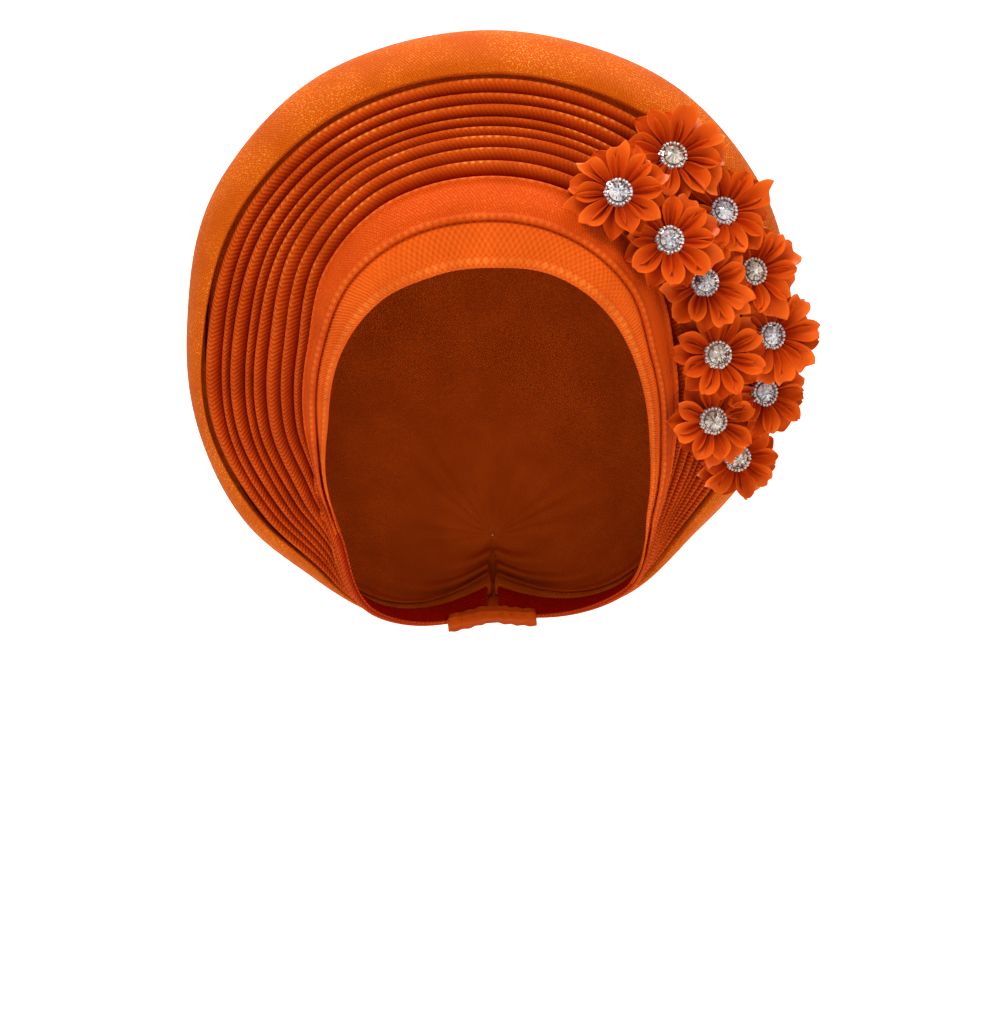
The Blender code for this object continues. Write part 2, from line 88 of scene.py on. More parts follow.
# Lines along the cloth: place across it, and how far back the line lies at its top and at the nape, as
# shares of TIE_DEPTH
LINES = {
    "hem": (0.0, -0.463, 0.32),
    "crease": (1.0, -0.426, 0.34),
    "band": (2.0, -0.368, 0.36),
    "middle": (2.5, -0.292, 0.39),
    "inner": (3.0, -0.237, 0.42),
    "top": (4.0, -0.126, 0.46),
    "turned": (5.0, 0.032, 0.50),
}

# The band's section from under its hem to under the second band: millimetres over the roll of the hem,
# share of the rest of the width, and millimetres off the base surface. The roll gets smaller where the band
# is narrower than HEM_ROOM rolls. The beads have a middle and a half width, in millimetres across.
HEM_ROLL = 0.0060
HEM_ROOM = 2.2
HEM_SAMPLES = 52
HEM_BEADS = ((5.6, 1.7),)
FOREHEAD_PROFILE = (
    (3.2, 0.00, 0.75),
    (1.4, 0.00, 0.70),
    (0.4, 0.00, 0.85),
    (0.0, 0.00, 1.45),
    (0.1, 0.00, 2.20),
    (0.8, 0.00, 3.05),
    (2.0, 0.00, 3.60),
    (3.4, 0.00, 3.65),
    (4.7, 0.00, 3.20),
    (5.5, 0.00, 2.65),
    (6.0, 0.04, 2.50),
    (6.0, 0.20, 2.85),
    (6.0, 0.45, 3.25),
    (6.0, 0.70, 3.10),
    (6.0, 0.92, 2.60),
    (6.0, 1.08, 2.40),
    (6.0, 1.25, 2.40),
)


def table(columns, rows):
    return {name: np.array([row[i] for row in rows], float) for i, name in enumerate(columns)}


def smooth(knots, values, at):
    """A smooth curve through values at rising knots that neither dips nor overshoots."""
    knots, values, at = np.asarray(knots, float), np.asarray(values, float), np.asarray(at, float)
    gaps = np.diff(knots).reshape([-1] + [1] * (values.ndim - 1))
    runs = np.diff(values, axis=0) / gaps
    before, after = runs[:-1], runs[1:]
    same = before * after > 0
    slopes = np.zeros_like(values)
    slopes[1:-1] = np.where(same, 2 * before * after / np.where(same, before + after, 1.0), 0.0)
    slopes[0], slopes[-1] = runs[0], runs[-1]
    i = np.clip(np.searchsorted(knots, at) - 1, 0, len(knots) - 2)
    span = knots[i + 1] - knots[i]
    t = (at - knots[i]) / span
    span, t = (x.reshape(x.shape + (1,) * (values.ndim - 1)) for x in (span, t))
    start = (2 * t**3 - 3 * t**2 + 1) * values[i] + (t**3 - 2 * t**2 + t) * span * slopes[i]
    end = (3 * t**2 - 2 * t**3) * values[i + 1] + (t**3 - t**2) * span * slopes[i + 1]
    return start + end


def resampled(rows, samples):
    """Rows of a table drawn out to a smooth curve of so many samples."""
    return smooth(np.arange(len(rows)), rows, np.linspace(0, len(rows) - 1, samples))


def section(turn):
    """The columns of SECTIONS at the turns given."""
    columns = table(SECTION_COLUMNS, SECTIONS)
    return {name: smooth(columns["turn"][::-1], column[::-1], turn) for name, column in columns.items()}


def away_from_top(turn):
    """How far round from the top the turns lie: 0 over the forehead, 1 at the nape."""
    return np.abs(np.asarray(turn, float) - TOP_TURN) / (TAIL_ENDS[0] - TOP_TURN)


def line(name, turn):
    """Points of one line along the cloth at the turns given."""
    shares = section(turn)
    hem = FACE_RADIUS * shares["hem"]
    top = FAN_RADIUS * shares["top"] - BACK_WALL - CLEARANCE - RIM_WALL
    middle = (shares["band"] + shares["inner"]) / 2
    ways = {"hem": 0.0, "crease": shares["crease"], "band": shares["band"], "middle": middle,
            "inner": shares["inner"], "top": 1.0, "turned": 1.0}
    radius = (hem + (top - hem) * ways[name]) * (TURNED_SHARE if name == "turned" else 1.0)
    front, tail = LINES[name][1:]
    way = away_from_top(turn) ** DEPTH_POWER
    depth = TIE_DEPTH * (front + (tail - front) * way**2 * (3 - 2 * way))
    angle = np.radians(turn)
    return np.stack([radius * np.cos(angle), depth, radius * np.sin(angle) - FACE_DROP], -1)


def cloth(turn, place):
    """Points of the cloth's base surface: a row for each turn, a column for each place across."""
    turn = np.asarray(turn, float)
    lines = np.stack([line(name, turn) for name in LINES])
    knots = [LINES[name][0] for name in LINES]
    place = np.broadcast_to(place, (len(turn), np.shape(place)[-1]))
    return np.stack([smooth(knots, lines[:, i], place[i]) for i in range(len(turn))])


def unit(vectors):
    return vectors / np.linalg.norm(vectors, axis=-1, keepdims=True)


def lifted(turn, place, lift):
    """The base surface moved out along its normals by the lifts given."""
    turn = np.asarray(turn, float)
    base = cloth(turn, place)
    place = np.broadcast_to(place, base.shape[:2])
    along = cloth(turn - TURN_STEP, place) - cloth(turn + TURN_STEP, place)
    across = cloth(turn, place + PLACE_STEP) - cloth(turn, place - PLACE_STEP)
    return base + unit(np.cross(along, across)) * np.broadcast_to(lift, base.shape[:2])[..., None]


def run_across(turn, start, end, samples=121):
    """Places from start to end at each turn, and the cloth's length from start to each of them."""
    ways = np.linspace(0.0, 1.0, samples)[None]
    places = start[:, None] + (end - start)[:, None] * ways
    steps = np.linalg.norm(np.diff(cloth(turn, places), axis=1), axis=2)
    return places, np.concatenate([np.zeros((len(turn), 1)), np.cumsum(steps, axis=1)], axis=1)


def places_at(distance, places, run):
    """Places at the distances given along each row's run, carried on straight past its end."""
    found = []
    for want, row, length in zip(distance, places, run):
        past = np.maximum(want - length[-1], 0.0) * (row[-1] - row[-2]) / max(length[-1] - length[-2], 1e-9)
        found.append(np.interp(want, length, row) + past)
    return np.array(found)


def length_along(points):
    """Length along each column of a grid, in millimetres, counted from the row nearest the top."""
    steps = np.linalg.norm(np.diff(points, axis=0), axis=2)
    run = np.concatenate([np.zeros((1, points.shape[1])), np.cumsum(steps, axis=0)])
    return 1000 * (run - run[len(run) // 2])


def length_across(points):
    """Length across each row of a grid, in millimetres."""
    steps = np.linalg.norm(np.diff(points, axis=1), axis=2)
    return 1000 * np.concatenate([np.zeros((points.shape[0], 1)), np.cumsum(steps, axis=1)], axis=1)


def cloth_piece(name, grid, left, right, wall, finish):
    """A sheet of cloth as a closed mesh. Left and right are the UV places of each strip's two edges."""
    rows, columns = grid.shape[:2]
    i, j = np.meshgrid(np.arange(rows - 1), np.arange(columns - 1), indexing="ij")
    a = i * columns + j
    faces = np.stack([a, a + columns, a + columns + 1, a + 1], -1).reshape(-1, 4)
    uv = np.stack([left[:-1], left[1:], right[1:], right[:-1]], 2).reshape(-1, 2)
    mesh = bpy.data.meshes.new(name)
    mesh.from_pydata(grid.reshape(-1, 3), [], faces.tolist())
    mesh.uv_layers.new(name="cloth")
    mesh.uv_layers["cloth"].data.foreach_set("uv", uv.astype(np.float32).ravel())
    mesh.shade_smooth()
    mesh.materials.append(finish)
    piece = bpy.data.objects.new(name, mesh)
    bpy.context.collection.objects.link(piece)
    bpy.ops.object.select_all(action="DESELECT")
    bpy.context.view_layer.objects.active = piece
    piece.select_set(True)
    thick = piece.modifiers.new("wall", "SOLIDIFY")
    thick.thickness = wall
    thick.offset = -1.0
    bpy.ops.object.modifier_apply(modifier=thick.name)
    return piece


def even_uv(grid):
    """UV places in millimetres for a grid: along its middle column, and across each row's mean."""
    middle = length_along(grid)[:, grid.shape[1] // 2]
    across = length_across(grid).mean(axis=0)
    whole = np.stack(np.broadcast_arrays(middle[:, None], across[None]), -1)
    return whole[:, :-1], whole[:, 1:]


def linear(code):
    """An sRGB hex colour as linear red, green, blue and alpha."""
    parts = [int(code[i:i + 2], 16) / 255 for i in (1, 3, 5)]
    return (*[p / 12.92 if p <= 0.04045 else ((p + 0.055) / 1.055) ** 2.4 for p in parts], 1.0)


def add_node(tree, kind, links=None, **settings):
    """Adds a node, sets its properties, and links or sets its inputs by name or number."""
    node = tree.nodes.new(kind)
    for key, value in settings.items():
        setattr(node, key, value)
    for key, value in (links or {}).items():
        if isinstance(value, bpy.types.NodeSocket):
            tree.links.new(value, node.inputs[key])
        else:
            node.inputs[key].default_value = value
    return node


def blank_finish(name):
    """A material with only its output, and the output."""
    finish = bpy.data.materials.new(name)
    finish.use_nodes = True
    finish.node_tree.nodes.clear()
    return finish, add_node(finish.node_tree, "ShaderNodeOutputMaterial")


def brocade(name, ground, dark, gold, weave, gold_share, beads=(), folds="#900600"):
    """Stiff head tie brocade. Polyester with flat gold thread that floats over it in dashes of a millimetre,
    a small weave a couple of millimetres across, and a soft sheen. UV is in millimetres along and across. In
    cords, across counts the pleats, and folds is the colour of the painted shade, a deep red, in the hollows
    between them. A flat weave reads the object's own X and Z instead. Beads are lines of gold dashes."""
    finish, out = blank_finish(name)
    tree = finish.node_tree

    def maths(operation, a, b=0.0, c=0.0, clamp=False):
        made = add_node(tree, "ShaderNodeMath", {0: a, 1: b, 2: c}, operation=operation, use_clamp=clamp)
        return made.outputs[0]

    def ranged(value, low, high, start=0.0, end=1.0):
        return add_node(tree, "ShaderNodeMapRange", {0: value, 1: low, 2: high, 3: start, 4: end}).outputs[0]

    def wave(value, period):
        return maths("SINE", maths("MULTIPLY", value, 2 * math.pi / period))

    def mixed(share, first, second, blend="MIX"):
        return add_node(tree, "ShaderNodeMix", {0: share, 6: first, 7: second}, data_type="RGBA",
                        blend_type=blend).outputs[2]

    own = add_node(tree, "ShaderNodeTexCoord").outputs["Object"]
    if weave == "flat":
        split = add_node(tree, "ShaderNodeSeparateXYZ", {0: own})
        along = maths("MULTIPLY", split.outputs[0], 1000.0)
        across = maths("MULTIPLY", split.outputs[2], 1000.0)
    else:
        uv = add_node(tree, "ShaderNodeUVMap", uv_map="cloth")
        split = add_node(tree, "ShaderNodeSeparateXYZ", {0: uv.outputs[0]})
        along, across = split.outputs[0], split.outputs[1]
    away = maths("ABSOLUTE", along)

    # The weave's own pattern, 0 in its hollows to 1 on its floats, with its periods in millimetres
    if weave == "eye":
        eyes = maths("MULTIPLY_ADD", maths("MULTIPLY", wave(along, 2.4), wave(across, 2.4)), 0.5, 0.5)
        ribs = maths("MULTIPLY_ADD", wave(maths("MULTIPLY_ADD", across, 0.35, along), 1.6), 0.5, 0.5)
        side = ranged(away, 42.0, 70.0)
        eyes = maths("MULTIPLY", eyes, maths("SUBTRACT", 1.0, side))
        pattern = maths("ADD", eyes, maths("MULTIPLY", ribs, side))
    elif weave == "cord":
        arm = maths("MULTIPLY", maths("PINGPONG", across, 0.5), 2.0)
        chevron = maths("MULTIPLY_ADD", wave(maths("MULTIPLY_ADD", arm, 2.6, along), 2.1), 0.5, 0.5)
        pattern = maths("MAXIMUM", chevron, ranged(away, 70.0, 130.0, 0.55, 0.0))
    else:
        twill = maths("MULTIPLY_ADD", wave(maths("ADD", along, across), 1.5), 0.25, 0.5)
        pattern = maths("MULTIPLY_ADD", wave(maths("SUBTRACT", along, across), 1.1), 0.25, twill)
    threads = maths("MULTIPLY_ADD", wave(along, 0.6), 0.5, 0.5)

    # Gold dashes, which gather in patches where the cloth turns its gold side out
    dash = add_node(tree, "ShaderNodeCombineXYZ", {
        0: maths("MULTIPLY", along, 0.9), 1: maths("MULTIPLY", across, 9.0 if weave == "cord" else 2.0)})
    flecks = add_node(tree, "ShaderNodeTexNoise", {"Vector": dash.outputs[0], "Scale": 1.0, "Detail": 1.0})
    clouds = add_node(tree, "ShaderNodeTexNoise", {"Vector": own, "Scale": 46.0, "Detail": 2.0})
    patch = ranged(clouds.outputs[0], 0.38, 0.62)
    fleck = ranged(flecks.outputs[0], 0.53, 0.70)
    shine = maths("MULTIPLY", fleck, maths("MULTIPLY_ADD", patch, gold_share, gold_share * 0.4), clamp=True)
    if weave == "cord":
        off_crest = maths("ABSOLUTE", maths("SUBTRACT", maths("FRACT", across), 0.64))
        crest = ranged(off_crest, 0.06, 0.17, 1.0, 0.0)
        near_top = ranged(away, 80.0, 150.0, 0.8, 0.12)
        bead = maths("MULTIPLY", maths("MULTIPLY_ADD", wave(along, 3.5), 0.6, 0.4, clamp=True), crest)
        shine = maths("MAXIMUM", shine, maths("MULTIPLY", bead, maths("MULTIPLY", patch, near_top)))
    for middle, half in beads:
        roll = ranged(maths("ABSOLUTE", maths("SUBTRACT", across, middle)), half * 0.3, half, 1.0, 0.0)
        bead = maths("MULTIPLY", maths("MULTIPLY_ADD", wave(along, 3.8), 0.40, 0.42), roll)
        shine = maths("MAXIMUM", shine, maths("MULTIPLY", bead, maths("MULTIPLY_ADD", patch, 0.25, 0.22)))

    colour = mixed(pattern, linear(dark), linear(ground))
    colour = mixed(maths("MULTIPLY", shine, 0.85), colour, linear(gold))
    if weave == "cord":
        # Painted shade: the hollows between the pleats are painted down to a deep red, more so on the side
        # that turns inward
        inner = ranged(maths("FRACT", across), 0.0, 0.46, 1.0, 0.0)
        outer = ranged(maths("FRACT", across), 0.82, 0.96)
        colour = mixed(maths("MAXIMUM", inner, outer), colour, linear(folds))
    tone = maths("MULTIPLY_ADD", patch, 0.12, 0.90)
    colour = mixed(1.0, colour, tone, "MULTIPLY")
    height = maths("MULTIPLY_ADD", threads, 0.25, maths("MULTIPLY_ADD", shine, 0.6, pattern))
    bump = add_node(tree, "ShaderNodeBump", {"Height": height, "Strength": 0.6, "Distance": 0.0005})
    shader = add_node(tree, "ShaderNodeBsdfPrincipled", {
        "Base Color": colour, "Roughness": maths("MULTIPLY_ADD", shine, -0.25, 0.68),
        "Metallic": maths("MULTIPLY", shine, 0.35), "Normal": bump.outputs[0], "Specular IOR Level": 0.10,
        "Specular Tint": linear(gold), "Sheen Weight": 0.02, "Sheen Tint": linear(gold)})
    tree.links.new(shader.outputs[0], out.inputs[0])
    return finish


forehead_cloth = brocade("bird's eye brocade, bright orange", "#F2671A", "#DB4C0C", "#FFA748", "eye", 0.12,
                         beads=HEM_BEADS)

turn = np.linspace(*BAND_ENDS, BAND_STATIONS)
shares = section(turn)
places, run = run_across(turn, np.zeros(len(turn)), shares["bands"])
profile = resampled(FOREHEAD_PROFILE, HEM_SAMPLES)
width = run[:, -1:]
roll = np.minimum(1.0, width / (HEM_ROOM * HEM_ROLL))
distance = profile[:, 0] / 1000 * roll + profile[:, 1] * (width - HEM_ROLL * roll)
taper = np.minimum(1.0, width / BAND_TAPER)
lift = CLOTH + (profile[:, 2] / 1000 - CLOTH) * taper
grid = lifted(turn, places_at(distance, places, run), lift)
piece = cloth_piece("forehead_band_cloth", grid, *even_uv(grid), CLOTH, forehead_cloth)
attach(piece, "root")
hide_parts("forehead_band")


# Upper band
# The second turn, wound over the first one's upper edge. It is the same brocade with its plain side out,
# redder, and both edges are folded under. Each shows a thin roll where the gold thread comes to the fold.
UPPER_PLACES = (0.93, 2.0)
EDGE_ROLL = 0.0030
EDGE_ROOM = 3.0
EDGE_SAMPLES = 60

# The column of the mesh on each roll, and the half width of the beads there in millimetres
EDGE_BEADS = ((16, 1.5), (47, 1.3))

# Millimetres over the lower roll, share of the width between the rolls, millimetres over the upper roll, and
# millimetres off the base surface. The rolls get smaller where the band is narrower than EDGE_ROOM of them.
UPPER_PROFILE = (
    (2.4, 0.00, 0.0, 3.15),
    (1.0, 0.00, 0.0, 3.15),
    (0.2, 0.00, 0.0, 3.40),
    (0.0, 0.00, 0.0, 4.10),
    (0.3, 0.00, 0.0, 5.00),
    (1.2, 0.00, 0.0, 5.55),
    (2.2, 0.00, 0.0, 5.30),
    (2.9, 0.00, 0.0, 4.75),
    (3.0, 0.05, 0.0, 4.65),
    (3.0, 0.30, 0.0, 5.15),
    (3.0, 0.60, 0.0, 5.20),
    (3.0, 0.92, 0.0, 4.80),
    (3.0, 1.00, 0.1, 4.75),
    (3.0, 1.00, 0.8, 5.35),
    (3.0, 1.00, 1.7, 5.60),
    (3.0, 1.00, 2.7, 5.00),
    (3.0, 1.00, 3.0, 4.10),
    (3.0, 1.00, 2.8, 3.40),
    (3.0, 1.00, 1.6, 3.10),
)

places, run = run_across(turn, UPPER_PLACES[0] * shares["bands"], UPPER_PLACES[1] * shares["bands"])
profile = resampled(UPPER_PROFILE, EDGE_SAMPLES)
width = run[:, -1:]
roll = np.minimum(1.0, width / (EDGE_ROOM * EDGE_ROLL))
distance = (profile[:, 0] + profile[:, 2]) / 1000 * roll + profile[:, 1] * (width - 2 * EDGE_ROLL * roll)
lift = BAND_WALL + (profile[:, 3] / 1000 - BAND_WALL) * np.minimum(1.0, width / BAND_TAPER)
grid = lifted(turn, places_at(distance, places, run), lift)
across = length_across(grid).mean(axis=0)
upper_cloth = brocade("plain brocade, red orange", "#E6530F", "#CC3E08", "#FFA040", "plain", 0.22,
                      beads=[(float(across[column]), half) for column, half in EDGE_BEADS])
piece = cloth_piece("upper_band_cloth", grid, *even_uv(grid), CLOTH, upper_cloth)
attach(piece, "root")
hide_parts("upper_band")


# Pleated fan
# Eight narrow pleats of the same length of cloth, each pulled tight and rounded like a cord, so that the ribs
# of the weave meet in a chevron along its crest. They are pinned under the band and the rim and gathered at
# the nape.
PLEAT_WALL = 0.0015
PLEAT_HEIGHT = 0.0050
FAN_SEAT = 0.0008
FAN_END = 0.992
FOOT_FLAT = 0.058
FOOT_SHARE = 0.72
FOOT_TUCK = 0.08
PLEATS = 8
PLEAT_SAMPLES = 12
PLEAT_LEAN = 1.35
PLEAT_ROUND = 0.62
PLEAT_WANDER = 0.05
PLEAT_SWELL = 0.07

# How often the first pleat wanders and swells over its length, how much more often each next one does, and
# the shift from one to the next in radians
WANDER_PACE = (3.1, 0.7, 1.9)
SWELL_PACE = (2.3, 0.45, 2.4)

# Where the flat foot and the flat edge at the rim read the weave, within the first and the last pleat. That
# also sets how much painted fold shade they take: a little on the foot, and the edge at the rim painted deep
# red as shade under the rim. A pleat's own weave ends just short of the next one's.
FOOT_UV = (0.28, 0.45)
EDGE_UV = (0.0, 0.2)
PLEAT_UV_END = 0.9999

# Each pleat's share of the width, from the band to the rim, at five turns
PLEAT_WIDTHS = (
    (268.0, (0.12, 0.13, 0.13, 0.13, 0.12, 0.13, 0.12, 0.12)),
    (184.0, (0.111, 0.121, 0.172, 0.126, 0.095, 0.146, 0.090, 0.139)),
    (90.0, (0.146, 0.128, 0.128, 0.118, 0.100, 0.136, 0.118, 0.126)),
    (-9.0, (0.118, 0.130, 0.140, 0.124, 0.108, 0.138, 0.118, 0.124)),
    (-88.0, (0.12, 0.13, 0.13, 0.13, 0.12, 0.13, 0.12, 0.12)),
)
PLEAT_HEIGHTS = (0.74, 1.00, 1.06, 0.92, 0.96, 1.06, 0.92, 0.98)


def paced(k, first, more, shift):
    """How far pleat k has swung at each turn, in radians."""
    return (first + more * k) * np.linspace(0.0, 2 * math.pi, STATIONS) + shift * k


pleat_cloth = brocade("corded brocade, deep orange", "#DA520E", "#B03208", "#F8A040", "cord", 0.10)

turn = np.linspace(*TAIL_ENDS, STATIONS)
shares = section(turn)
foot = LINES["band"][0] * np.clip(shares["bands"], 0.0, 1.0)
places, run = run_across(turn, foot, np.full(len(turn), LINES["inner"][0]))
knots = [row[0] for row in PLEAT_WIDTHS][::-1]
widths = smooth(knots, [row[1] for row in PLEAT_WIDTHS][::-1], turn)
widths = widths / widths.sum(axis=1, keepdims=True) * (FAN_END - FOOT_FLAT)
starts = FOOT_FLAT + np.concatenate([np.zeros((len(turn), 1)), np.cumsum(widths, axis=1)], axis=1)
inside = (1 - np.cos(np.pi * np.arange(PLEAT_SAMPLES) / PLEAT_SAMPLES)) / 2
crest = np.sin(np.pi * inside**PLEAT_LEAN) ** PLEAT_ROUND
ways, heights = [np.zeros(len(turn))], [np.zeros(len(turn))]
for k in range(PLEATS):
    wander = PLEAT_WANDER * np.sin(paced(k, *WANDER_PACE)) * widths[:, k]
    tall = PLEAT_HEIGHTS[k] * (1 + PLEAT_SWELL * np.sin(paced(k, *SWELL_PACE)))
    for t, h in zip(inside, crest):
        ways.append(starts[:, k] + widths[:, k] * t + wander * math.sin(math.pi * t))
        heights.append(h * tall)
ways += [starts[:, -1], np.ones(len(turn))]
heights += [np.zeros(len(turn)), np.zeros(len(turn))]
ways, heights = np.stack(ways, 1), np.stack(heights, 1)
place = places_at(ways * run[:, -1:], places, run)
lift = FAN_SEAT + (PLEAT_HEIGHT + PLEAT_WALL - FAN_SEAT) * shares["fullness"][:, None] * heights
tuck = lifted(turn, (foot * FOOT_SHARE - FOOT_TUCK)[:, None], FAN_SEAT)
grid = np.concatenate([tuck, lifted(turn, place, lift)], axis=1)
along = length_along(grid)
crest_column = [2 + PLEAT_SAMPLES * k + PLEAT_SAMPLES // 2 for k in range(PLEATS)]
columns = grid.shape[1]
left = np.zeros((len(turn), columns - 1, 2))
right = np.zeros((len(turn), columns - 1, 2))
for j in range(columns - 1):
    # Along is measured on the crest of each pleat, so that the chevrons stay whole across it
    if j < 2:
        k, (low, high) = 0, FOOT_UV
    elif j < 2 + PLEAT_SAMPLES * PLEATS:
        k = (j - 2) // PLEAT_SAMPLES
        step = (j - 2) % PLEAT_SAMPLES
        low = inside[step]
        high = inside[step + 1] if step + 1 < PLEAT_SAMPLES else PLEAT_UV_END
    else:
        k, (low, high) = PLEATS - 1, EDGE_UV
    left[:, j, 0] = right[:, j, 0] = along[:, crest_column[k]]
    left[:, j, 1] = k + low
    right[:, j, 1] = k + high
piece = cloth_piece("pleated_fan_cloth", grid, left, right, CLOTH, pleat_cloth)
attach(piece, "root")
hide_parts("pleated_fan")


# Outer rim
# The broad edge of the fan, padded inside and rolled at its inner edge, then turned over to the back and
# pinned. The gold thread shows most here, for the cloth is pulled smooth over its padding.
RIM_LIFT = 0.0075
RIM_SAMPLES = 66

# The padding's rise and fall: share of its height, waves in a full turn, and where they start in radians
RIM_WAVES = ((0.05, 7, 1.3), (0.04, 13, 0.0))

# Place across the cloth, share of RIM_LIFT, and how far the turned edge comes down on the back in millimetres
RIM_SECTION = (
    (3.10, -0.08, 0.0),
    (3.04, 0.08, 0.0),
    (2.99, 0.32, 0.0),
    (2.97, 0.66, 0.0),
    (3.04, 0.95, 0.0),
    (3.22, 1.06, 0.0),
    (3.50, 0.92, 0.0),
    (3.65, 0.76, 0.0),
    (3.80, 0.54, 0.0),
    (4.00, 0.22, 0.0),
    (4.20, 0.06, 0.0),
    (4.40, 0.00, 0.1),
    (4.70, 0.00, 0.5),
    (4.94, 0.00, 1.2),
    (5.00, 0.00, 1.7),
    (4.97, 0.00, 2.1),
)

rim_cloth = brocade("gold shot brocade", "#E4640C", "#C44604", "#F8A63C", "twill", 0.70)

rim = resampled(RIM_SECTION, RIM_SAMPLES)
rim_seat = max(PLEAT_WALL, BACK_WALL) + CLEARANCE + RIM_WALL
waves = 1 + sum(share * np.sin(np.radians(turn) * count + start) for share, count, start in RIM_WAVES)
lift = rim_seat + RIM_LIFT * (shares["padding"] * waves)[:, None] * rim[:, 1] - rim[:, 2] / 1000
grid = lifted(turn, rim[:, 0], lift)
piece = cloth_piece("outer_rim_cloth", grid, *even_uv(grid), CLOTH, rim_cloth)
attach(piece, "root")
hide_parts("outer_rim")


# Back
# The plain back: the same brocade with its matt side out, drawn from under the rim to the nape, where it
# gathers in folds under the strip that holds it. Shallow creases run in toward the nape.
NAPE_DROP = 0.075
NAPE_SETBACK = 0.097
BACK_FOLD_HEIGHT = 0.0040
BACK_FOLDS = 3
BACK_TUCK_PLACE = 4.7
BACK_START = 0.06
BACK_CLOSE = 0.9993
BACK_SAMPLES = 60
CREASE_HEIGHT = 0.0016
CREASES = 17
CREASE_SWAY = 0.8
CREASE_SWAYS = 5

back_cloth = brocade("matt brocade", "#CE500E", "#AC3A08", "#E0903C", "flat", 0.15)


def back_surface(turn, ways):
    """The back of the cloth: from the turned rim a quarter ellipse in to the nape."""
    edge = line("turned", turn)[:, None]
    pole = np.array([0.0, NAPE_SETBACK, -NAPE_DROP])
    angle = np.asarray(ways) * math.pi / 2
    grid = pole + (edge - pole) * np.cos(angle)[None, :, None]
    grid[..., 1] = (edge + (pole - edge) * np.sin(angle)[None, :, None])[..., 1]
    return grid


def outward(grid):
    """Unit normals of a grid of points, pointing away from the head."""
    return unit(np.cross(np.gradient(grid, axis=0), np.gradient(grid, axis=1)))


across = np.linspace(0.0, 1.0, BACK_SAMPLES)
ways = BACK_START + (BACK_CLOSE - BACK_START) * across
tuck = cloth(turn, [BACK_TUCK_PLACE])
grid = np.concatenate([tuck, back_surface(turn, np.concatenate([[0.0], ways]))], axis=1)
fold = np.concatenate([[0.0, 0.0], np.sin(math.pi * BACK_FOLDS * across) ** 2])
gathered = away_from_top(turn)[:, None] ** 3
drawn = np.concatenate([[0.0, 0.0], across**2 * (1 - across**8)])
sway = CREASE_SWAY * np.sin(np.radians(turn) * CREASE_SWAYS)
creases = np.sin(np.radians(turn) * CREASES + sway)[:, None] * 0.5 + 0.5
lift = BACK_WALL + BACK_FOLD_HEIGHT * gathered * fold + CREASE_HEIGHT * drawn * creases * (1 - gathered)
grid = grid + outward(grid) * lift[..., None]
piece = cloth_piece("back_drape_cloth", grid, *even_uv(grid), CLOTH, back_cloth)
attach(piece, "root")
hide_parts("back_drape")


# Nape strip
# One end of the cloth folded lengthwise in a strip and brought over the gathered ends at the nape, from
# inside the hem to the middle of the back, where it is tucked in and pinned.
WRAP_SPREAD = 10.0
WRAP_STATIONS = 31
WRAP_SAMPLES = 120
WRAP_WALL = 0.0022
WRAP_CLOTH = 0.0012
WRAP_INSIDE = -0.0012
WRAP_HEM = 0.0016
WRAP_RISE = 1.05
WRAP_FOLDS = 6
WRAP_FOLD_DEPTH = 0.0006

# Place across the cloth, and what the strip passes over there
WRAP_FRONT = (
    (1.6, "lining"),
    (0.7, "lining"),
    (0.1, "lining"),
    (-0.30, "hem"),
    (0.0, "foot"),
    (0.3, "fan"),
    (1.2, "fan"),
    (2.7, "fan"),
    (3.1, "rim"),
    (3.6, "rim"),
    (4.2, "turned"),
    (5.0, "turned"),
)

# Ways down the back from the rim to the nape, and the strip's lift at each as a share of back_top
WRAP_WAYS = (0.25, 0.50, 0.72, 0.90, 0.97)
WRAP_LIFTS = (0.85, 0.80, 0.62, 0.66, 0.42)

strip_cloth = brocade("matt brocade, folded strip", "#C84C0C", "#A43406", "#E08838", "flat", 0.15)

spread = np.linspace(WRAP_SPREAD, -WRAP_SPREAD, WRAP_STATIONS)
strip_turn = np.where(spread < 0, TAIL_ENDS[0] + spread, TAIL_ENDS[1] + spread)
strip_shares = section(strip_turn)
wrap_places = [place for place, _ in WRAP_FRONT]
over = 3 * CLEARANCE + WRAP_WALL
top = {
    "lining": WRAP_INSIDE,
    "hem": WRAP_HEM,
    "foot": PLEAT_WALL + over,
    "fan": PLEAT_WALL + PLEAT_HEIGHT * WRAP_RISE * strip_shares["fullness"] + over,
    "rim": rim_seat + RIM_LIFT * strip_shares["padding"] + over,
    "turned": rim_seat + over,
}
front_lift = np.stack([np.broadcast_to(top[name], len(spread)) for _, name in WRAP_FRONT], -1)
back_top = BACK_WALL + BACK_FOLD_HEIGHT + over
behind = back_surface(strip_turn, np.concatenate([[0.0], WRAP_WAYS]))
behind = behind[:, 1:] + outward(behind)[:, 1:] * back_top * np.array(WRAP_LIFTS)[:, None]
controls = np.concatenate([lifted(strip_turn, np.array(wrap_places), front_lift), behind], axis=1)
grid = resampled(controls.transpose(1, 0, 2), WRAP_SAMPLES).transpose(1, 0, 2)
folds = WRAP_FOLD_DEPTH * np.cos(WRAP_FOLDS * math.pi * np.linspace(0, 1, len(spread)))[:, None, None] ** 2
grid = grid - outward(grid) * folds
piece = cloth_piece("nape_wrap_cloth", grid, *even_uv(grid), WRAP_CLOTH, strip_cloth)
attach(piece, "root")
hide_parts("nape_wrap")


# Satin flowers
# Eleven flowers of satin ribbon. Each petal is a short piece of ribbon folded to a pointed cup with soft
# lips, and two rings of them are stitched together one over the other and glued to the cloth.
FLOWER_REACH = 0.0210
HUB_RADIUS = 0.0062
HUB_HEIGHT = 0.0034
PETAL_ROOT = HUB_RADIUS * 0.35
BROOCH_RADIUS = 0.0061
BROOCH_HEIGHT = 0.0036

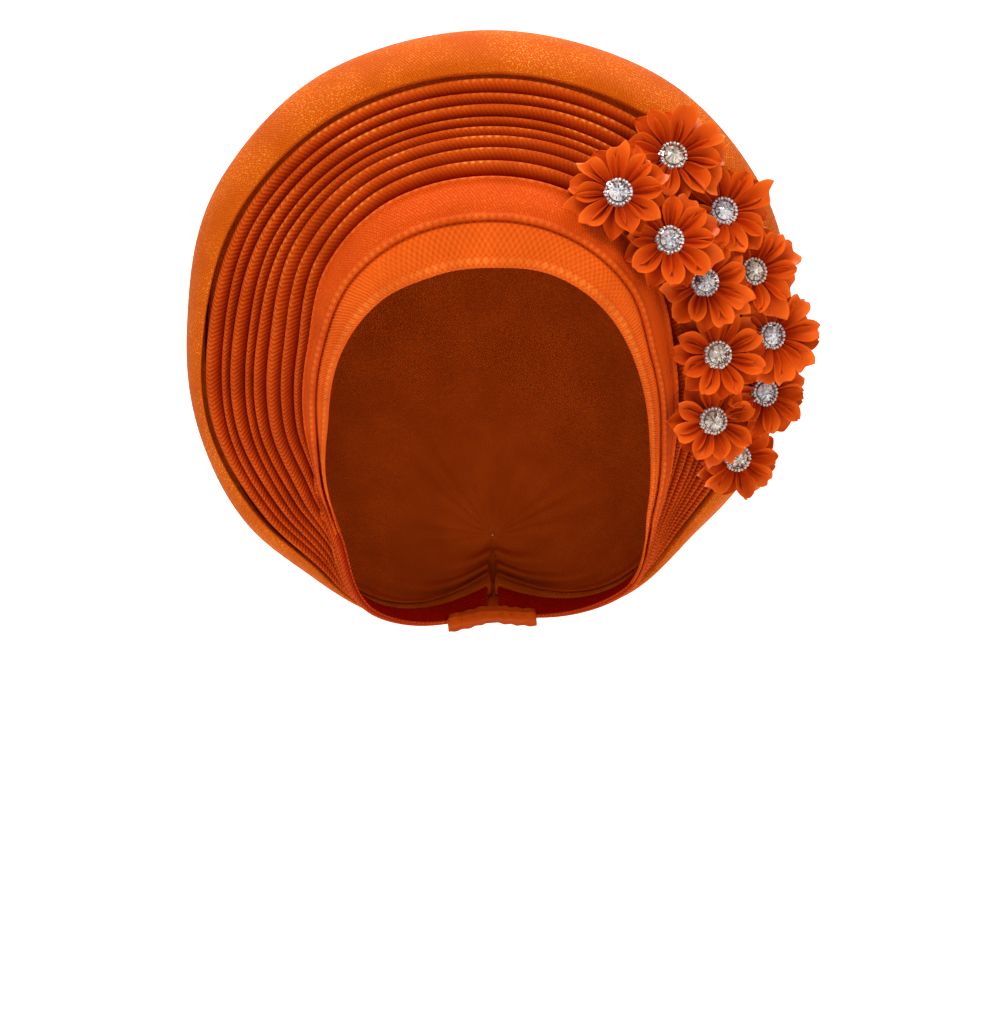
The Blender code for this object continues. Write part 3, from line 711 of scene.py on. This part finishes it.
# Share of the reach, spin in degrees, and how far the flower leans toward +X and upward
FLOWERS = (
    (1.00, 8.0, 0.05, 0.20),
    (1.05, 30.0, 0.15, 0.25),
    (1.00, 15.0, 0.28, 0.18),
    (1.00, 0.0, 0.10, 0.10),
    (0.96, 20.0, 0.18, 0.05),
    (0.98, 5.0, 0.40, 0.10),
    (1.00, 12.0, 0.38, 0.00),
    (0.96, 28.0, 0.15, 0.00),
    (0.94, 3.0, 0.40, -0.05),
    (0.92, 18.0, 0.15, -0.10),
    (0.88, 10.0, 0.28, -0.30),
)

# The lower and the upper ring: petals, their shift as a share of a petal, share of the reach, height in
# metres, rise of the tips, and how much painted light the satin takes, less on the lower ring as painted
# shade under the upper one
PETAL_LAYERS = (
    (8, 0.5, 1.06, 0.0004, -0.20, 0.85),
    (8, 0.0, 0.98, 0.0020, 0.05, 1.0),
)

# A petal from the hub to its tip: way along, half width where the tip is pointed and where it is square,
# height of its middle, and how much its lips stand up, all as shares of the petal's length. So is
# RIBBON_SHARE, the thickness of the folded ribbon.
PETAL_COLUMNS = ("way", "pointed", "square", "rise", "lip")
PETAL_ROWS = (
    (0.00, 0.06, 0.06, 0.00, 0.10),
    (0.15, 0.12, 0.12, 0.05, 0.17),
    (0.32, 0.21, 0.20, 0.10, 0.27),
    (0.50, 0.29, 0.27, 0.16, 0.29),
    (0.66, 0.32, 0.32, 0.22, 0.27),
    (0.80, 0.26, 0.34, 0.27, 0.20),
    (0.90, 0.16, 0.32, 0.30, 0.15),
    (0.97, 0.06, 0.25, 0.31, 0.11),
    (1.00, 0.012, 0.20, 0.31, 0.08),
)
PETAL_RINGS = 15
PETAL_ROUND = 9
RIBBON_SHARE = 0.030


def petal_mesh(length, wide, square, bend, curl, skew):
    """Rings of points of one folded petal, which points along X with its cup facing Z. Square is 0 to 1, and
    skew draws one corner of a square tip out."""
    rows = table(PETAL_COLUMNS, PETAL_ROWS)
    ways = 1 - (1 - np.linspace(0, 1, PETAL_RINGS)) ** 1.25
    pointed = smooth(rows["way"], rows["pointed"], ways)
    half = (pointed + square * (smooth(rows["way"], rows["square"], ways) - pointed)) * wide
    rise = smooth(rows["way"], rows["rise"], ways)
    lip = smooth(rows["way"], rows["lip"], ways)
    t = np.cos(np.pi * np.arange(PETAL_ROUND) / (PETAL_ROUND - 1))
    back = t[1:-1][::-1]
    across = np.concatenate([t, back])
    fold = np.concatenate([0 * t, RIBBON_SHARE * np.sqrt(1 - back**2)])
    rings = []
    for way, w, r, l in zip(ways, half, rise, lip):
        x = way + square * way**5 * (0.05 * np.abs(across) + skew * across)
        y = across * w + bend * way**2
        z = r + l * np.abs(across) ** 1.7 + curl * way**3 - fold
        rings.append(np.stack([x, y, z], -1) * length)
    return np.array(rings)


def loft_faces(rings, around, start):
    """Faces of rings joined one after the other, closed at both ends."""
    faces = [tuple(start + k for k in range(around))]
    for i in range(rings - 1):
        for k in range(around):
            a, b = start + i * around + k, start + i * around + (k + 1) % around
            faces.append((a, a + around, b + around, b))
    faces.append(tuple(start + (rings - 1) * around + k for k in reversed(range(around))))
    return faces


def satin_ribbon(name, lit, deep):
    """Polyester satin ribbon: long floats on its face give a soft gloss, with a weave too fine to see that
    only blurs the gloss. Its colour is painted light and shade: lit where the tips and lips are painted light
    and highlit, deep for the painted shade, a deep red, where the cups turn inward."""
    finish, out = blank_finish(name)
    tree = finish.node_tree
    own = add_node(tree, "ShaderNodeTexCoord").outputs["Object"]
    cloud = add_node(tree, "ShaderNodeTexNoise", {"Vector": own, "Scale": 160.0, "Detail": 2.0})
    # The depth attribute holds the painted light and shade: 0 is painted shade, 1 is painted light and
    # highlight
    depth = add_node(tree, "ShaderNodeAttribute", attribute_name="depth")
    share = add_node(tree, "ShaderNodeMath", {0: cloud.outputs[0], 1: 0.30, 2: -0.15},
                     operation="MULTIPLY_ADD")
    share = add_node(tree, "ShaderNodeMath", {0: depth.outputs["Fac"], 1: share.outputs[0]}, operation="ADD",
                     use_clamp=True)
    colour = add_node(tree, "ShaderNodeMix", {0: share.outputs[0], 6: linear(deep), 7: linear(lit)},
                      data_type="RGBA")
    weave = add_node(tree, "ShaderNodeTexNoise", {"Vector": own, "Scale": 2600.0, "Detail": 1.0})
    bump = add_node(tree, "ShaderNodeBump", {
        "Height": weave.outputs[0], "Strength": 0.12, "Distance": 0.0002})
    rough = add_node(tree, "ShaderNodeMath", {0: cloud.outputs[0], 1: 0.16, 2: 0.30},
                     operation="MULTIPLY_ADD")
    shader = add_node(tree, "ShaderNodeBsdfPrincipled", {
        "Base Color": colour.outputs[2], "Roughness": rough.outputs[0], "Normal": bump.outputs[0],
        "Specular IOR Level": 0.30, "Specular Tint": linear("#FFA060")})
    tree.links.new(shader.outputs[0], out.inputs[0])
    return finish


def flower_axes(side, rise):
    """A flower's right, up and outward directions, from how far it leans."""
    out = Vector((side, -1.0, rise)).normalized()
    right = Vector((0.0, 0.0, 1.0)).cross(out).normalized()
    right = -right if right.x < 0 else right
    up = out.cross(right).normalized()
    up = -up if up.z < 0 else up
    return right, up, out


def seat_of(index, out):
    """Where a flower sits: the middle of its brooch in the frame, less half the brooch and the hub."""
    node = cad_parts[f"brooch_{index:02d}"]
    points = {tuple(round(c, 6) for c in v.co) for v in node.data.vertices}
    middle = Vector(np.mean(list(points), axis=0))
    return middle - out * (BROOCH_HEIGHT / 2 + CLEARANCE + HUB_HEIGHT)


ribbon = satin_ribbon("orange satin ribbon", "#FF6E18", "#A60C00")
rng = np.random.default_rng(11)
flower_places = []
for index, (reach, spin, side, rise) in enumerate(FLOWERS, start=1):
    right, up, out = flower_axes(side, rise)
    seat = seat_of(index, out)
    axes = np.array([right, up, out])
    points, faces, petal_painted_light = [], [], []
    for petals, shift, share, height, tip, light in PETAL_LAYERS:
        for k in range(petals):
            angle = math.radians(spin) + 2 * math.pi * (k + shift) / petals
            angle += rng.uniform(-0.10, 0.10)
            length = FLOWER_REACH * reach * share * rng.uniform(0.93, 1.05) - PETAL_ROOT
            rings = petal_mesh(length, rng.uniform(0.80, 1.00), rng.choice([0.0, 0.1, 0.5, 1.0]),
                               rng.uniform(-0.09, 0.09), tip + rng.uniform(-0.12, 0.12),
                               rng.uniform(-0.14, 0.14))
            around = rings.shape[1]

            # Placed round the hub, then painted light toward its tip, a painted highlight on its lips, and
            # painted shade deep in its cup
            flat = rings.reshape(-1, 3) + np.array([PETAL_ROOT, 0.0, height])
            turned = np.stack([flat[:, 0] * math.cos(angle) - flat[:, 1] * math.sin(angle),
                               flat[:, 0] * math.sin(angle) + flat[:, 1] * math.cos(angle), flat[:, 2]], -1)
            faces += loft_faces(PETAL_RINGS, around, len(points))
            lips = np.abs(np.cos(np.pi * np.arange(PETAL_ROUND) / (PETAL_ROUND - 1)))
            edge = np.concatenate([lips, np.zeros(around - PETAL_ROUND)])
            along = np.linspace(0, 1, PETAL_RINGS)[:, None]
            lit = 0.62 * along**1.1 + 0.60 * edge[None] ** 2 * (0.25 + 0.75 * along)
            petal_painted_light += list((lit * light).clip(0, 1).ravel())
            points += [tuple(p) for p in turned @ axes + np.array(seat)]
    name = f"flower_{index:02d}_petals"
    mesh = bpy.data.meshes.new(name)
    mesh.from_pydata(points, [], faces)
    mesh.attributes.new("depth", "FLOAT", "POINT").data.foreach_set("value", np.array(petal_painted_light, np.float32))
    shell = bmesh.new()
    shell.from_mesh(mesh)
    bmesh.ops.recalc_face_normals(shell, faces=shell.faces)
    shell.to_mesh(mesh)
    shell.free()
    mesh.shade_smooth()
    mesh.materials.append(ribbon)
    piece = bpy.data.objects.new(name, mesh)
    bpy.context.collection.objects.link(piece)
    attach(piece, "root")
    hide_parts(f"flower_{index:02d}")
    flower_places.append((seat, right, up, out))


# Brooches
# A round silver-coloured cup glued in the middle of each flower. A cut glass stone backed with foil sits in
# it, and a ring of twenty-two small stones goes round it.
CUP_RADIUS = BROOCH_RADIUS * 1.08
CUP_HEIGHT = 0.0012
STONE_RADIUS = BROOCH_RADIUS * 0.68
STONE_FACETS = 20
STONE_PLACE = 0.0016
GIRDLE_HEIGHT = 0.0006
SMALL_STONES = 22
SMALL_STONE = 0.00075
SMALL_RING = BROOCH_RADIUS * 0.94
SMALL_PLACE = 0.0018
WARM_STONES = (2, 6, 8, 10, 11)

# Steps inward over the top of the cup and of the stone: share of BROOCH_RADIUS, and rise in metres
CUP_STEPS = ((0.36, 0.0006), (0.06, -0.0004))
STONE_STEPS = ((0.24, 0.0008), (0.26, 0.0007))


def silver_plate(name):
    """Bright plated metal: smooth, with faint wear that dulls it in places."""
    finish, out = blank_finish(name)
    tree = finish.node_tree
    own = add_node(tree, "ShaderNodeTexCoord").outputs["Object"]
    wear = add_node(tree, "ShaderNodeTexNoise", {"Vector": own, "Scale": 900.0, "Detail": 3.0})
    rough = add_node(tree, "ShaderNodeMath", {0: wear.outputs[0], 1: 0.22, 2: 0.10}, operation="MULTIPLY_ADD")
    bump = add_node(tree, "ShaderNodeBump", {"Height": wear.outputs[0], "Strength": 0.1, "Distance": 0.0001})
    shader = add_node(tree, "ShaderNodeBsdfPrincipled", {
        "Base Color": linear("#C9C4BE"), "Metallic": 1.0, "Roughness": rough.outputs[0],
        "Normal": bump.outputs[0]})
    tree.links.new(shader.outputs[0], out.inputs[0])
    return finish


def foiled_glass(name, bright, dark):
    """Cut glass on foil, under a clear polished face, with a painted reflection: the facets are painted one
    by one from white to dark grey, as if each threw back another part of the room."""
    finish, out = blank_finish(name)
    tree = finish.node_tree
    facet_reflection = add_node(tree, "ShaderNodeAttribute", attribute_name="facet_reflection")
    own = add_node(tree, "ShaderNodeTexCoord").outputs["Object"]
    spark = add_node(tree, "ShaderNodeTexNoise", {"Vector": own, "Scale": 700.0, "Detail": 1.0})
    colour = add_node(tree, "ShaderNodeMix", {0: facet_reflection.outputs["Fac"], 6: linear(dark), 7: linear(bright)},
                      data_type="RGBA")
    rough = add_node(tree, "ShaderNodeMath", {0: spark.outputs[0], 1: 0.10, 2: 0.02},
                     operation="MULTIPLY_ADD")
    shader = add_node(tree, "ShaderNodeBsdfPrincipled", {
        "Base Color": colour.outputs[2], "Metallic": 0.15, "Roughness": rough.outputs[0],
        "Specular IOR Level": 0.5, "Coat Weight": 0.3, "Coat Roughness": 0.04})
    tree.links.new(shader.outputs[0], out.inputs[0])
    return finish


def finished_object(name, finish, smooth_angle=None):
    """The object just modelled, named and given its finish, and smooth up to an angle where one is given."""
    made = bpy.context.object
    made.name = made.data.name = name
    made.data.materials.clear()
    made.data.materials.append(finish)
    if smooth_angle is not None:
        bpy.ops.object.shade_smooth_by_angle(angle=math.radians(smooth_angle))
    return made


def edit_only(kind, wanted):
    """Goes into edit mode with only the wanted polygons or edges of the active object selected."""
    bpy.ops.object.mode_set(mode="EDIT")
    bpy.ops.mesh.select_all(action="DESELECT")
    bpy.ops.object.mode_set(mode="OBJECT")
    for element in getattr(bpy.context.object.data, kind):
        element.select = wanted(element)
    bpy.ops.object.mode_set(mode="EDIT")


def faces_up(face):
    return face.normal.z > 0.9


silver = silver_plate("silver plated brass")
glass = foiled_glass("foiled cut glass, clear", "#FFFFFF", "#4A4450")
warm_glass = foiled_glass("foiled cut glass, champagne", "#FFF4E4", "#54402E")

# The cup, modelled once about its own seat with its axis along Z
bpy.ops.object.select_all(action="DESELECT")
bpy.ops.mesh.primitive_cylinder_add(vertices=40, radius=CUP_RADIUS, depth=CUP_HEIGHT,
                                    location=(0, 0, CUP_HEIGHT / 2))
edit_only("polygons", faces_up)
for inward, rise in CUP_STEPS:
    bpy.ops.mesh.inset(thickness=BROOCH_RADIUS * inward)
    bpy.ops.transform.translate(value=(0, 0, rise))
bpy.ops.mesh.select_all(action="DESELECT")
bpy.ops.object.mode_set(mode="OBJECT")
cup = finished_object("cup", silver, 35)

# The stone: a girdle, crown facets and a table
bpy.ops.object.select_all(action="DESELECT")
bpy.ops.mesh.primitive_cylinder_add(vertices=STONE_FACETS, radius=STONE_RADIUS, depth=GIRDLE_HEIGHT,
                                    location=(0, 0, STONE_PLACE))
edit_only("polygons", faces_up)
bpy.ops.mesh.select_mode(type="FACE")
for inward, rise in STONE_STEPS:
    bpy.ops.mesh.inset(thickness=BROOCH_RADIUS * inward)
    bpy.ops.transform.translate(value=(0, 0, rise))
    bpy.ops.transform.rotate(value=math.pi / STONE_FACETS, orient_axis="Z", center_override=(0, 0, 0))
bpy.ops.mesh.poke()
bpy.ops.mesh.select_all(action="SELECT")
bpy.ops.mesh.quads_convert_to_tris()
bpy.ops.mesh.normals_make_consistent(inside=False)
bpy.ops.object.mode_set(mode="OBJECT")
stone = finished_object("stone", glass)

# One small stone, copied round the cup
bpy.ops.object.select_all(action="DESELECT")
bpy.ops.mesh.primitive_uv_sphere_add(segments=7, ring_count=5, radius=SMALL_STONE,
                                     location=(SMALL_RING, 0, SMALL_PLACE))
small = finished_object("small", silver)

for index, (seat, right, up, out) in enumerate(flower_places, start=1):
    base = seat + out * (HUB_HEIGHT + CLEARANCE)
    place = Matrix.Translation(base) @ Matrix((right, up, out)).transposed().to_4x4()
    rng = np.random.default_rng(100 + index)
    mesh = cup.data.copy()
    bm = bmesh.new()
    bm.from_mesh(mesh)
    for k in range(SMALL_STONES):
        ring = small.data.copy()
        spin = Matrix.Rotation(2 * math.pi * k / SMALL_STONES, 4, "Z")
        ring.transform(spin @ Matrix.Translation(small.location))
        ring.polygons.foreach_set("material_index", np.ones(len(ring.polygons), np.int32))
        bm.from_mesh(ring)
        bpy.data.meshes.remove(ring)
    bm.to_mesh(mesh)
    bm.free()
    mesh.materials.append(warm_glass if index in WARM_STONES else glass)
    # Painted reflection: the small stones' facets are painted at random from mid grey to white
    facet_reflection = mesh.attributes.new("facet_reflection", "FLOAT", "FACE")
    facet_reflection.data.foreach_set("value", rng.uniform(0.45, 1.0, len(mesh.polygons)).astype(np.float32))
    mesh.transform(place)
    setting = bpy.data.objects.new(f"brooch_{index:02d}_setting", mesh)
    mesh.name = setting.name
    bpy.context.collection.objects.link(setting)
    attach(setting, "root")
    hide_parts(f"brooch_{index:02d}")

    # Painted reflection on the big stone: painted lighter on one side, and its facets painted lighter or
    # darker one by one
    mesh = stone.data.copy()
    facet_reflection = mesh.attributes.new("facet_reflection", "FLOAT", "FACE")
    toward = rng.uniform(0, 2 * math.pi)
    angles = np.array([math.atan2(face.center.y, face.center.x) for face in mesh.polygons])
    shares = 0.50 + 0.20 * np.cos(angles - toward) + rng.normal(0, 0.34, len(angles))
    facet_reflection.data.foreach_set("value", shares.clip(0.0, 1.0).astype(np.float32))
    if index in WARM_STONES:
        mesh.materials.clear()
        mesh.materials.append(warm_glass)
    mesh.transform(place @ Matrix.Translation(stone.location))
    cut = bpy.data.objects.new(f"brooch_{index:02d}_stone", mesh)
    mesh.name = cut.name
    bpy.context.collection.objects.link(cut)
    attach(cut, "root")
for pattern in (cup, stone, small):
    bpy.data.objects.remove(pattern, do_unlink=True)


# Studio
# A plain pale floor that runs up behind in one soft curve, wide soft lights, and the camera straight in
# front, a little below the middle. Its lens is worked out from pixels: focal length over width of the photo.
CAMERA_BACK = 1.300
CAMERA_DROP = 0.060
SENSOR_WIDTH = 36.0
FOCAL_PIXELS = 2814
PHOTO_PIXELS = 985
FLOOR_SIZE = 6.0
FLOOR_FORWARD = 1.0
FLOOR_DROP = 0.42
WALL_HEIGHT = 4.0
WALL_CURVE = 1.6
DAYLIGHT = 0.42

camera = bpy.data.objects.new("camera", bpy.data.cameras.new("camera"))
camera.location = (0.0, -CAMERA_BACK, -CAMERA_DROP)
camera.rotation_euler = (math.pi / 2, 0.0, 0.0)
camera.data.sensor_fit = "HORIZONTAL"
camera.data.sensor_width = SENSOR_WIDTH
camera.data.lens = SENSOR_WIDTH * FOCAL_PIXELS / PHOTO_PIXELS
camera.data.clip_start = 0.05
bpy.context.collection.objects.link(camera)
bpy.context.scene.camera = camera

pale = bpy.data.materials.new("pale paper backdrop")
pale.use_nodes = True
pale.node_tree.nodes["Principled BSDF"].inputs["Base Color"].default_value = linear("#F4F3F1")
pale.node_tree.nodes["Principled BSDF"].inputs["Roughness"].default_value = 0.9
bpy.ops.object.select_all(action="DESELECT")
bpy.ops.mesh.primitive_plane_add(size=FLOOR_SIZE, location=(0, -FLOOR_FORWARD, -FLOOR_DROP))
floor = bpy.context.object


def foot_of_wall(edge):
    """Whether an edge of the floor is the one that the wall stands on."""
    ends = [floor.data.vertices[v].co for v in edge.vertices]
    return all(end.y > FLOOR_SIZE * 0.48 and end.z < 0.1 for end in ends)


bpy.ops.object.mode_set(mode="EDIT")
bpy.ops.mesh.select_mode(type="EDGE")
edit_only("edges", foot_of_wall)
bpy.ops.mesh.extrude_region_move(TRANSFORM_OT_translate={"value": (0, 0, WALL_HEIGHT)})
edit_only("edges", foot_of_wall)
bpy.ops.mesh.bevel(offset=WALL_CURVE, segments=24)
bpy.ops.object.mode_set(mode="OBJECT")
floor = finished_object("floor", pale, 60)

world = bpy.data.worlds.new("studio")
bpy.context.scene.world = world
world.use_nodes = True
world.node_tree.nodes["Background"].inputs[0].default_value = linear("#FFFFFF")
world.node_tree.nodes["Background"].inputs[1].default_value = DAYLIGHT


def soft_light(name, place, aim, size, watts):
    """A rectangular light at a place, turned toward its aim."""
    lamp = bpy.data.lights.new(name, "AREA")
    lamp.shape = "RECTANGLE"
    lamp.size, lamp.size_y = size
    lamp.energy = watts
    holder = bpy.data.objects.new(name, lamp)
    holder.location = place
    holder.rotation_euler = (Vector(aim) - Vector(place)).to_track_quat("-Z", "Y").to_euler()
    bpy.context.collection.objects.link(holder)


soft_light("front light", (-0.35, -1.2, 1.15), (0, 0, 0), (0.8, 0.6), 17.0)
soft_light("side light", (1.3, -0.9, 0.4), (0, 0, 0), (0.7, 0.9), 4.2)
soft_light("backdrop light", (0.0, 0.6, 1.9), (0, 1.9, 0.0), (2.0, 0.8), 60.0)
bpy.context.scene.view_settings.view_transform = "Standard"
